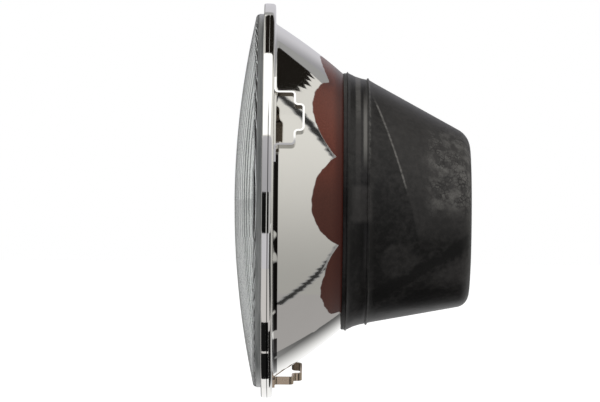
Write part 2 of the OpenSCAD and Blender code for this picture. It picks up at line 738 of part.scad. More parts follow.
module side_glass() {
    t = 0.6;
    neck = side_cap_r - 0.5 - slip;
    front = side_back - 11 - slip;
    color([0.9, 0.93, 0.95, 0.4]) on_side_axis()
        turned(concat([for (i = [0 : 6]) let (a = 90 * i / 6)
                [side_glass_r * sin(a), side_tip + side_glass_r * (1 - cos(a))]],
            [[side_glass_r, front - 0.6], [neck, front - slip], [neck, side_glass_back + 2],
                [0, side_glass_back + 2], [0, side_glass_back], [neck - t, side_glass_back],
                [side_glass_r - t, front - 0.8]],
            [for (i = [6 : -1 : 0]) let (a = 90 * i / 6, r = side_glass_r - t)
                [r * sin(a), side_tip + side_glass_r - r * cos(a)]]));
}

module side_filament() {
    post_r = 0.2;
    spread = 1.8;
    top = side_tip + 5;
    color([0.5, 0.5, 0.5]) on_side_axis() union() {
        for (s = [-1, 1])
            translate([0, s * spread, 0]) facing(top) cylinder(r = post_r, h = side_glass_back - slip - top);
        translate([top, -spread - 0.2, 0]) rotate([-90, 0, 0]) cylinder(r = 0.35, h = 2 * spread + 0.4);
    }
}

module side_terminal() {
    root = side_back + side_flange_t + slip;
    length = side_boss_back - root + 8;
    color([0.8, 0.76, 0.66]) on_side_axis() facing(root)
        translate([0, blade_t / 2, 0]) rotate([90, 0, 0]) linear_extrude(blade_t) difference() {
            polygon([[-side_blade_w / 2, 0], [side_blade_w / 2, 0], [side_blade_w / 2, length - 1.2],
                [side_blade_w / 2 - 1.2, length], [1.2 - side_blade_w / 2, length],
                [-side_blade_w / 2, length - 1.2]]);
            translate([0, length - 3.6]) circle(r = 0.9);
        }
}

lens();
lens_seal();
reflector();
clip_near();
clip_lower();
clip_far();
boot_collar();
boot();
bulb_seat();
seat_rivets();
bail();
bulb_flange();
bulb_base();
bulb_insulator();
terminal_left();
terminal_right();
terminal_top();
bulb_glass();
bulb_leads();
dip_shield();
dip_filament();
main_filament();
side_tube();
side_holder();
side_cap();
side_glass();
side_filament();
side_terminal();
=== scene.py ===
import math

import bmesh
import bpy
from mathutils import Matrix, Vector


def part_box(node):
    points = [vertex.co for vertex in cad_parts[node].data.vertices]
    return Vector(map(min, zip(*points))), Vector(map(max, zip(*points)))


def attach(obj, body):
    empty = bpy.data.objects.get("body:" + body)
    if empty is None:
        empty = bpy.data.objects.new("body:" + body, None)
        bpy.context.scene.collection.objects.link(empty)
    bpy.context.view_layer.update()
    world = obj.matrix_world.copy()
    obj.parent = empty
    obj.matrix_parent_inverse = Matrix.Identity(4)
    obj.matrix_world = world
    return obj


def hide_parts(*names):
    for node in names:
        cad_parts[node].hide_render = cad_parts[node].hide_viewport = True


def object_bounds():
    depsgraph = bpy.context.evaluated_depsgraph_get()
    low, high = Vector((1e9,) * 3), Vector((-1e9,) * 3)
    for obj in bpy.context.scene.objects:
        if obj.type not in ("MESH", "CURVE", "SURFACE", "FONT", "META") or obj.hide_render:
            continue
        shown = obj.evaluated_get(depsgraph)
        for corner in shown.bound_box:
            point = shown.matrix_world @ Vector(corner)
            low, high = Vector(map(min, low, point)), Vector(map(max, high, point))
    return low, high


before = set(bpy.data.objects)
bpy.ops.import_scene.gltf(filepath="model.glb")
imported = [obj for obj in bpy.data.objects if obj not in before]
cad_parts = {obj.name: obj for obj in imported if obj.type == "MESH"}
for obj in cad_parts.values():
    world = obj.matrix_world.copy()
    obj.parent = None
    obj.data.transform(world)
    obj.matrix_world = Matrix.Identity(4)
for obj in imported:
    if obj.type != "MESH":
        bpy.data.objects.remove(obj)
cad_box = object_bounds()
mm = 0.001

# REFLECTOR
# One sheet of steel, drawn into a paraboloid with a flange and a rim band that is crimped over
# the lens. It is metallised all over, and its back is lacquered red-brown where the boot sits.
rim_low, rim_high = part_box("reflector")
rim_r = min(-rim_low[1], rim_high[2])
rim_front = rim_low[0]
band_w = 5.2 * mm
rim_back = rim_front + band_w
back_corner = 1.25 * mm
front_corner = 0.5 * mm
crease = 2.75 * mm
crease_w = 0.3 * mm
crease_depth = 0.04 * mm
crown = 0.04 * mm
bead_tilt = 9
bead_drop = 0.13 * mm
sheet_t = 0.8 * mm
focal = 25.5 * mm
turn_r = 80.2 * mm
turn_fillet = 2.2 * mm
land_r = 29.0 * mm
land_hole_r = 21.0 * mm
side_drop = 37.5 * mm
side_hole_r = 6.2 * mm
boot_r = 58.5 * mm
lens_r = 85.2 * mm
lip_r = lens_r + 0.6 * mm


def bowl_normal(r):
    return Vector((r, 2 * focal)).normalized()


bowl_x = rim_back + turn_fillet * (1 - bowl_normal(turn_r)[1]) + turn_r**2 / (4 * focal)


def bowl_at(r):
    return bowl_x - r * r / (4 * focal)


def arc(centre, radius, start, end, steps):
    angles = [math.radians(start + (end - start) * i / steps) for i in range(steps + 1)]
    return [(centre[0] + radius * math.cos(a), centre[1] + radius * math.sin(a)) for a in angles]


def bowl_line(start, end, depth, steps):
    radii = [start + (end - start) * i / steps for i in range(steps + 1)]
    return [tuple(Vector((r, bowl_at(r))) - depth * bowl_normal(r)) for r in radii]


def add_node(tree, kind, wires=(), **settings):
    """Adds a node; wires gives each input's name or number and its value or source."""
    made = tree.nodes.new(kind)
    for key, value in settings.items():
        setattr(made, key, value)
    for key, value in wires:
        if isinstance(value, bpy.types.NodeSocket):
            tree.links.new(value, made.inputs[key])
        else:
            made.inputs[key].default_value = value
    return made


def reckon(tree, operation, *values):
    return add_node(tree, "ShaderNodeMath", list(enumerate(values)), operation=operation).outputs[0]


def in_turn(tree, operation, values):
    """Works through the values from the first on, two at a time."""
    result = values[0]
    for value in values[1:]:
        result = reckon(tree, operation, result, value)
    return result


def plus(tree, *values):
    return in_turn(tree, "ADD", values)


def minus(tree, *values):
    return in_turn(tree, "SUBTRACT", values)


def times(tree, *values):
    return in_turn(tree, "MULTIPLY", values)


def most(tree, *values):
    return in_turn(tree, "MAXIMUM", values)


def size_of(tree, value):
    return reckon(tree, "ABSOLUTE", value)


def length(tree, first, second):
    return reckon(tree, "SQRT", plus(tree, times(tree, first, first), times(tree, second, second)))


def spread(tree, value, low, high, to_low, to_high, kind="LINEAR"):
    """Takes low to high of a value onto to_low to to_high, held at both ends."""
    return add_node(tree, "ShaderNodeMapRange", [("Value", value), ("From Min", low), ("From Max", high),
                                                 ("To Min", to_low), ("To Max", to_high)],
                    interpolation_type=kind).outputs["Result"]


def eased(tree, value, low, high, to_low, to_high):
    return spread(tree, value, low, high, to_low, to_high, "SMOOTHSTEP")


def tinted(tree, amount, first, second):
    """Mixes two colours, each a triple or another node's colour."""
    mix = add_node(tree, "ShaderNodeMix", [("Factor", amount)], data_type="RGBA")
    for socket, colour in ((mix.inputs[6], first), (mix.inputs[7], second)):
        if isinstance(colour, bpy.types.NodeSocket):
            tree.links.new(colour, socket)
        else:
            socket.default_value = (*colour, 1.0)
    return mix.outputs[2]


def own_place(tree):
    return add_node(tree, "ShaderNodeTexCoord").outputs["Object"]


def along_each(tree, place):
    return add_node(tree, "ShaderNodeSeparateXYZ", [(0, place)]).outputs


def speckle(tree, place, scale, detail=3.0, rough=0.5):
    return add_node(tree, "ShaderNodeTexNoise", [("Vector", place), ("Scale", scale), ("Detail", detail),
                                                 ("Roughness", rough)]).outputs["Fac"]


def bumpy(tree, shader, height, strength, distance):
    bump = add_node(tree, "ShaderNodeBump", [("Height", height), ("Strength", strength),
                                             ("Distance", distance)])
    tree.links.new(bump.outputs["Normal"], shader.inputs["Normal"])


def new_finish(name):
    finish = bpy.data.materials.new(name)
    finish.use_nodes = True
    return finish, finish.node_tree, finish.node_tree.nodes["Principled BSDF"]


def bright_finish(name, colour, rough, grain):
    """Metallised or plated metal with faint clouding and fine marks."""
    finish, tree, shader = new_finish(name)
    place = own_place(tree)
    cloud = speckle(tree, place, 45.0)
    fine = speckle(tree, place, 2600.0, 2.0)
    shade = tuple(c * (1 - grain * 2) for c in colour)
    tree.links.new(tinted(tree, cloud, colour, shade), shader.inputs["Base Color"])
    tree.links.new(spread(tree, fine, 0.3, 0.7, rough * 0.75, rough * 1.3), shader.inputs["Roughness"])
    shader.inputs["Metallic"].default_value = 1.0
    bumpy(tree, shader, fine, grain, 0.02 * mm)
    return finish


def bowl_back_finish():
    """Bright metal with red-brown lacquer round the boot's seat, its edge running in lobes."""
    finish, tree, metal = new_finish("bowl_back")
    place = own_place(tree)
    x, y, z = along_each(tree, place)
    radius = length(tree, y, z)
    turn = reckon(tree, "ARCTAN2", z, size_of(tree, y))
    grain = speckle(tree, place, 1500.0, 4.0, 0.7)
    cloud = speckle(tree, place, 40.0)

    def towards(start, end, first, last, shape=spread):
        """Goes from first to last between two angles above the level, in degrees."""
        return shape(tree, turn, math.radians(start), math.radians(end), first, last)

    # The lobes are scallops of one width, which reach less far out at the bottom and at the top.
    lobe_r = 69.5 * mm
    lobe_step = math.radians(38)
    lobe_fall = 0.0236 * mm
    off = reckon(tree, "DEGREES", reckon(tree, "WRAP", turn, lobe_step / 2, -lobe_step / 2))
    off_level = size_of(tree, turn)
    shallow = spread(tree, off_level, math.radians(40), math.radians(54), 1.0, 0.6)
    pulled_in = plus(tree, towards(-10, -34, 0.0, 3.4 * mm, eased), towards(-52, -70, 0.0, 10 * mm, eased),
                     towards(52, 66, 0.0, 2.6 * mm, eased))
    edge = minus(tree, lobe_r, times(tree, off, off, lobe_fall, shallow), pulled_in)
    wander = spread(tree, speckle(tree, place, 160.0), 0.3, 0.7, -0.35 * mm, 0.35 * mm)
    inside = plus(tree, minus(tree, edge, radius), wander)
    lacquer = spread(tree, inside, -0.15 * mm, 0.15 * mm, 0.0, 1.0)

    # The lacquer carries painted shade: darker low down, a painted shadow by the boot's lip, and a painted
    # dark reflection in the notches between the lobes.
    brown = tinted(tree, spread(tree, grain, 0.3, 0.7, 0.0, 1.0), (0.13, 0.026, 0.013), (0.20, 0.05, 0.028))
    brown = tinted(tree, eased(tree, z, 26 * mm, -2 * mm, 0.0, 0.62), brown, (0.03, 0.010, 0.007))
    lip_painted_shadow = eased(tree, radius, boot_r + 1.2 * mm, boot_r + 4.5 * mm, 0.75, 0.0)
    notch_painted_reflection = times(tree, eased(tree, inside, 0.3 * mm, 4.5 * mm, 0.45, 0.0),
                     spread(tree, size_of(tree, off), 10.0, 18.0, 0.0, 1.0))
    brown_with_painted_shade = tinted(tree, most(tree, lip_painted_shadow, notch_painted_reflection), brown, (0.055, 0.008, 0.004))

    # A painted dark reflection lies, broken, in the groove behind the band, and a thin dark line runs along
    # the band's crease; both stop short of the top.
    behind = minus(tree, x, rim_back)
    groove = times(tree, spread(tree, behind, -0.1 * mm, 0.1 * mm, 0.0, 1.0),
                   spread(tree, behind, 2.0 * mm, 2.2 * mm, 1.0, 0.0))
    broken = spread(tree, speckle(tree, place, 42.0), 0.36, 0.38, 0.0, 1.0)
    off_crease = size_of(tree, minus(tree, behind, crease - band_w))
    line = times(tree, spread(tree, off_crease, 0.12 * mm, 0.3 * mm, 0.85, 0.0), towards(30, 24, 0.0, 1.0),
                 spread(tree, radius, rim_r - 2 * mm, rim_r - mm, 0.0, 1.0))
    groove_reflection_and_crease_line = most(tree, times(tree, groove, broken, towards(17.5, 14.5, 0.0, 1.0)), line)

    silver = tinted(tree, cloud, (0.88, 0.87, 0.845), (0.84, 0.83, 0.80))
    coated = tinted(tree, lacquer, silver, brown_with_painted_shade)
    tree.links.new(tinted(tree, groove_reflection_and_crease_line, coated, (0.008, 0.007, 0.006)), metal.inputs["Base Color"])
    tree.links.new(spread(tree, lacquer, 0.0, 1.0, 1.0, 0.25), metal.inputs["Metallic"])
    metal.inputs["Specular IOR Level"].default_value = 0.35
    worn = spread(tree, cloud, 0.3, 0.7, 0.03, 0.055)
    tree.links.new(plus(tree, worn, times(tree, lacquer, 0.24)), metal.inputs["Roughness"])
    bumpy(tree, metal, times(tree, grain, lacquer), 0.25, 0.04 * mm)
    return finish


def finished(name, bm, sharp):
    """Makes a smooth-shaded object of a mesh, with its edges over the sharp angle kept."""
    mesh = bpy.data.meshes.new(name)
    bm.to_mesh(mesh)
    bm.free()
    mesh.polygons.foreach_set("use_smooth", [True] * len(mesh.polygons))
    mesh.set_sharp_from_angle(angle=math.radians(sharp))
    piece = bpy.data.objects.new(name, mesh)
    bpy.context.scene.collection.objects.link(piece)
    return piece


def skinned(bm, rings):
    """Joins rings of points into a closed skin, from each ring to the next and back to the first."""
    for one, other in zip(rings, rings[1:] + rings[:1]):
        for i in range(len(one)):
            j = (i + 1) % len(one)
            bm.faces.new((one[i], one[j], other[j], other[i]))
    bmesh.ops.recalc_face_normals(bm, faces=bm.faces)


def ring_at(bm, radius, x, steps, drop=0.0):
    """A ring of points round the lamp's axis, or dropped below it."""
    turns = [2 * math.pi * i / steps for i in range(steps)]
    return [bm.verts.new((x, radius * math.cos(a), radius * math.sin(a) - drop)) for a in turns]


def as_plain_mesh(piece):
    """Gives a piece the mesh that its modifiers make, and removes them."""
    held = bpy.context.evaluated_depsgraph_get()
    mesh = bpy.data.meshes.new_from_object(piece.evaluated_get(held))
    piece.modifiers.clear()
    piece.data = mesh


def stand_in(piece, node):
    """Puts a finished piece in the place of a CAD node, on the one body of this lamp."""
    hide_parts(node)
    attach(piece, "root")


fillet = Vector((turn_r, bowl_at(turn_r))) + turn_fillet * bowl_normal(turn_r)
turn_back = 180 + math.degrees(math.atan2(bowl_normal(turn_r)[1], bowl_normal(turn_r)[0]))
flat_from = rim_front + crease - crease_w / 2
flat_to = rim_front + 1.1 * front_corner
crown_steps = 8
crown_line = [(rim_r - crown * (2 * i / crown_steps - 1)**2,
               flat_from + (flat_to - flat_from) * i / crown_steps) for i in range(crown_steps + 1)]
back_line = (
    [(land_hole_r, bowl_at(land_r)), (land_r - 0.5 * mm, bowl_at(land_r))]
    + bowl_line(land_r + 0.5 * mm, turn_r, 0, 90)
    + arc(fillet, turn_fillet, turn_back, 270, 12)[1:]
    + arc((rim_r - bead_drop - back_corner, rim_back - back_corner), back_corner, 90, bead_tilt, 14)
    + [(rim_r - 0.02 * mm, rim_front + crease + crease_w / 2), (rim_r - crease_depth, rim_front + crease)]
    + crown_line
    + arc((rim_r - crown - front_corner, rim_front + front_corner), front_corner, -4, -90, 10)
    + [(lip_r, rim_front), (lip_r, rim_front + sheet_t)]
)
inner_r = rim_r - 2 * bead_drop - sheet_t
inner_corner = back_corner - sheet_t
inside_line = (
    [(inner_r - 0.2 * mm, rim_front + sheet_t), (inner_r, rim_front + sheet_t + 0.2 * mm)]
    + arc((inner_r - inner_corner, rim_back - back_corner), inner_corner, 0, 90, 4)
    + arc(fillet, turn_fillet + sheet_t, 270, turn_back, 8)
    + bowl_line(turn_r, land_r + 1.2 * mm, sheet_t, 90)[1:]
    + [(land_r - 0.4 * mm, bowl_at(land_r) - sheet_t), (land_hole_r, bowl_at(land_r) - sheet_t)]
)
bm = bmesh.new()
skinned(bm, [ring_at(bm, radius, x, 384) for radius, x in back_line + inside_line])
reflector = finished("reflector_shell", bm, 40)

# The sidelight's hole is drilled through the lower part of the bowl, along the lamp's axis.
drill_mesh = bpy.data.meshes.new("side_drill")
drill = bmesh.new()
drill_place = Matrix.Translation((bowl_at(side_drop), 0, -side_drop)) @ Matrix.Rotation(math.pi / 2, 4, "Y")
bmesh.ops.create_cone(drill, cap_ends=True, segments=64, radius1=side_hole_r, radius2=side_hole_r,
                      depth=50 * mm, matrix=drill_place)
drill.to_mesh(drill_mesh)
drill.free()
drill_piece = bpy.data.objects.new("side_drill", drill_mesh)
bpy.context.scene.collection.objects.link(drill_piece)
cut = reflector.modifiers.new("side_hole", "BOOLEAN")
cut.object = drill_piece
cut.operation = "DIFFERENCE"
cut.solver = "EXACT"
as_plain_mesh(reflector)
bpy.data.objects.remove(drill_piece)
reflector.data.materials.append(bowl_back_finish())
reflector.data.materials.append(bright_finish("bowl_mirror", (0.88, 0.88, 0.87), 0.03, 0.01))
for face in reflector.data.polygons:
    centre = face.center
    within_band = math.hypot(centre.y, centre.z) < rim_r - sheet_t / 2
    faces_forward = face.normal.x < 0 and centre.x > rim_front + sheet_t / 2 and within_band
    faces_axis = face.normal.y * centre.y + face.normal.z * centre.z < 0 and centre.x > rim_front
    face.material_index = 1 if faces_forward or faces_axis else 0
stand_in(reflector, "reflector")

# LENS
# Pressed clear glass with a domed front and a straight wall that ends in a foot inside the rim.
# Its inside carries upright flutes in two fields, the narrow ones under a ledge.
lens_dome_r = 384.0 * mm
lens_edge = 2.0 * mm
glass_t = 4.0 * mm
lens_in_r = lens_r - 3.8 * mm
edge_x = rim_front - 3.8 * mm
foot_r = inner_r - 0.3 * mm
foot_front = rim_front + sheet_t
foot_back = rim_back - sheet_t - 1.2 * mm
dome_tilt = math.asin((lens_r - lens_edge) / (lens_dome_r - lens_edge))
dome_x = edge_x + lens_edge + (lens_dome_r - lens_edge) * math.cos(dome_tilt)
inner_dome_r = lens_dome_r - glass_t
field_r = lens_in_r - 0.6 * mm
flute_fade = 9 * mm
columns = 520
rows_low = 26
rows_high = 44


def flute_tree(finish):
    """A grid over the inside of the dome, hollowed into upright flutes in two fields."""
    tree = bpy.data.node_groups.new("flutes", "GeometryNodeTree")
    tree.interface.new_socket("Mesh", in_out="OUTPUT", socket_type="NodeSocketGeometry")
    sizes = {"Radius": field_r, "Depth": 0.45 * mm, "Upper pitch": 6.4 * mm, "Lower pitch": 4.6 * mm,
             "Ledge drop": 16 * mm, "Dome radius": inner_dome_r, "Dome centre": dome_x}
    for title, size in sizes.items():
        tree.interface.new_socket(title, in_out="INPUT", socket_type="NodeSocketFloat").default_value = size
    given = add_node(tree, "NodeGroupInput").outputs
    rows = rows_low + rows_high + 1
    grid = add_node(tree, "GeometryNodeMeshGrid", [("Size X", 1.0), ("Size Y", 1.0),
                                                   ("Vertices X", columns + 1), ("Vertices Y", rows + 1)])
    flat = along_each(tree, add_node(tree, "GeometryNodeInputPosition").outputs[0])

    # The unit grid is bent to the round field: its columns stand at y, and its rows fill the
    # height of each column, first up to the ledge and then above it.
    turn = times(tree, plus(tree, flat[0], 0.5), math.pi)
    y = times(tree, reckon(tree, "COSINE", turn), times(tree, given["Radius"], -1.0))
    top = times(tree, reckon(tree, "SINE", turn), given["Radius"])
    low = times(tree, top, -1.0)
    ledge = most(tree, low, times(tree, given["Ledge drop"], -1.0))
    row = times(tree, plus(tree, flat[1], 0.5), float(rows))
    is_high = reckon(tree, "GREATER_THAN", row, rows_low + 0.5)
    is_low = minus(tree, 1.0, is_high)
    below = reckon(tree, "DIVIDE", row, float(rows_low))
    above = reckon(tree, "DIVIDE", minus(tree, row, rows_low + 1.0), float(rows_high))
    z_low = plus(tree, low, times(tree, minus(tree, ledge, low), below))
    z_high = plus(tree, ledge, times(tree, minus(tree, top, ledge), above))
    z = plus(tree, times(tree, z_high, is_high), times(tree, z_low, is_low))

    # Each flute is a shallow trough across its pitch, and fades out towards the field's edge.
    pitch = plus(tree, times(tree, given["Upper pitch"], is_high),
                 times(tree, given["Lower pitch"], is_low))
    share = reckon(tree, "FRACT", reckon(tree, "DIVIDE", y, pitch))
    across = minus(tree, times(tree, share, 2.0), 1.0)
    hollow = times(tree, given["Depth"], minus(tree, 1.0, times(tree, across, across)))
    off_axis = plus(tree, times(tree, y, y), times(tree, z, z))
    edge_room = minus(tree, given["Radius"], reckon(tree, "SQRT", off_axis))
    fade = reckon(tree, "MINIMUM", 1.0, most(tree, 0.0, reckon(tree, "DIVIDE", edge_room, flute_fade)))
    dome_square = times(tree, given["Dome radius"], given["Dome radius"])
    dome = reckon(tree, "SQRT", minus(tree, dome_square, off_axis))
    x = minus(tree, given["Dome centre"], dome, times(tree, hollow, fade))
    spot = add_node(tree, "ShaderNodeCombineXYZ", [(0, x), (1, y), (2, z)]).outputs[0]
    moved = add_node(tree, "GeometryNodeSetPosition", [("Geometry", grid.outputs["Mesh"]),
                                                       ("Position", spot)])
    merged = add_node(tree, "GeometryNodeMergeByDistance", [("Geometry", moved.outputs[0]),
                                                            ("Distance", 0.001 * mm)])
    real = add_node(tree, "GeometryNodeRealizeInstances", [("Geometry", merged.outputs[0])])
    painted = add_node(tree, "GeometryNodeSetMaterial", [("Geometry", real.outputs[0]),
                                                         ("Material", finish)])
    add_node(tree, "NodeGroupOutput", [(0, painted.outputs[0])])
    return tree


def glass_finish(name, tint, rough):
    """Clear glass with very faint clouding."""
    finish, tree, shader = new_finish(name)
    shader.inputs["Transmission Weight"].default_value = 1.0
    shader.inputs["IOR"].default_value = 1.5
    place = own_place(tree)
    cloud = speckle(tree, place, 60.0)
    tree.links.new(tinted(tree, cloud, tint, tuple(c * 0.985 for c in tint)), shader.inputs["Base Color"])
    tree.links.new(spread(tree, speckle(tree, place, 900.0), 0.3, 0.7, rough * 0.6, rough * 1.4),
                   shader.inputs["Roughness"])
    return finish


def edge_refraction_finish():
    """The glass of the wall, a little rough, its grey and its streaks along the lamp painted to stand in for
    light refracted through it.
    """
    finish, tree, shader = new_finish("lens_edge_painted_refraction")
    drawn_out = add_node(tree, "ShaderNodeVectorMath", [(0, own_place(tree)), (1, (1.0, 0.03, 0.03))],
                         operation="MULTIPLY").outputs[0]
    refraction_streak = spread(tree, speckle(tree, drawn_out, 800.0, 2.0), 0.35, 0.65, 0.0, 1.0)
    refraction_greys = tinted(tree, refraction_streak, (0.22, 0.235, 0.23), (0.44, 0.45, 0.445))
    tree.links.new(refraction_greys, shader.inputs["Base Color"])
    shader.inputs["Roughness"].default_value = 0.25
    shader.inputs["Transmission Weight"].default_value = 0.35
    return finish


lens_glass = glass_finish("lens_glass", (0.90, 0.925, 0.915), 0.05)
flute_holder = bpy.data.objects.new("lens_fluted", bpy.data.meshes.new("lens_fluted"))
bpy.context.scene.collection.objects.link(flute_holder)
maker = flute_holder.modifiers.new("flutes", "NODES")
maker.node_group = flute_tree(lens_glass)
as_plain_mesh(flute_holder)

# From the fluted field's edge a skin runs over the foot, the wall and the front to its middle.
wall_steps = 10
dome_steps = 14
edge_turns = [math.pi / 2 + (dome_tilt - math.pi / 2) * i / wall_steps for i in range(wall_steps + 1)]
dome_turns = [dome_tilt * (1 - i / dome_steps) for i in range(1, dome_steps)]
outer_line = (
    [(lens_in_r, dome_x - math.sqrt(inner_dome_r**2 - lens_in_r**2)), (lens_in_r, foot_back)]
    + [(foot_r, foot_back), (foot_r, foot_front), (lens_r, foot_front)]
    + [(lens_r - lens_edge + lens_edge * math.sin(a), edge_x + lens_edge - lens_edge * math.cos(a))
       for a in edge_turns]
    + [(lens_dome_r * math.sin(a), dome_x - lens_dome_r * math.cos(a)) for a in dome_turns]
)
bm = bmesh.new()
bm.from_mesh(flute_holder.data)
ring = sorted({v for e in bm.edges if e.is_boundary for v in e.verts},
              key=lambda v: math.atan2(v.co.z, v.co.y))
turns = [math.atan2(v.co.z, v.co.y) for v in ring]
for radius, x in outer_line:
    fresh = [bm.verts.new((x, radius * math.cos(a), radius * math.sin(a))) for a in turns]
    for i in range(len(ring)):
        j = (i + 1) % len(ring)
        bm.faces.new((ring[i], ring[j], fresh[j], fresh[i]))
    ring = fresh
middle = bm.verts.new((dome_x - lens_dome_r, 0, 0))
for i, vert in enumerate(ring):
    bm.faces.new((vert, ring[(i + 1) % len(ring)], middle))
bmesh.ops.recalc_face_normals(bm, faces=bm.faces)
bpy.data.objects.remove(flute_holder)
lens = finished("lens_body", bm, 28)
lens.data.materials.append(lens_glass)
lens.data.materials.append(edge_refraction_finish())
for face in lens.data.polygons:
    centre = face.center
    on_wall = math.hypot(centre.y, centre.z) > lens_r - 0.05 * mm and centre.x > edge_x + lens_edge * 0.4
    face.material_index = 1 if on_wall else 0
stand_in(lens, "lens")

# BOOT
# Moulded black rubber: a lip that lies on the bowl, a base band with two raised ridges, and a
# cone that leans down to a rounded, dished back with a thick-edged hole for the connector.
boot_x = bowl_at(boot_r) + 0.15 * mm
boot_band = 12.2 * mm
boot_len = 46.6 * mm
boot_edge = 8.0 * mm
boot_wall = 2.6 * mm
boot_drop = 8.3 * mm
cone_x = boot_x + boot_band
cone_r = 55.3 * mm
back_r = 39.3 * mm
boot_back_x = cone_x + boot_len
back_crown = 0.5 * mm
dish_r = 17.0 * mm
dish_depth = 4.4 * mm
lead_r = 12.5 * mm


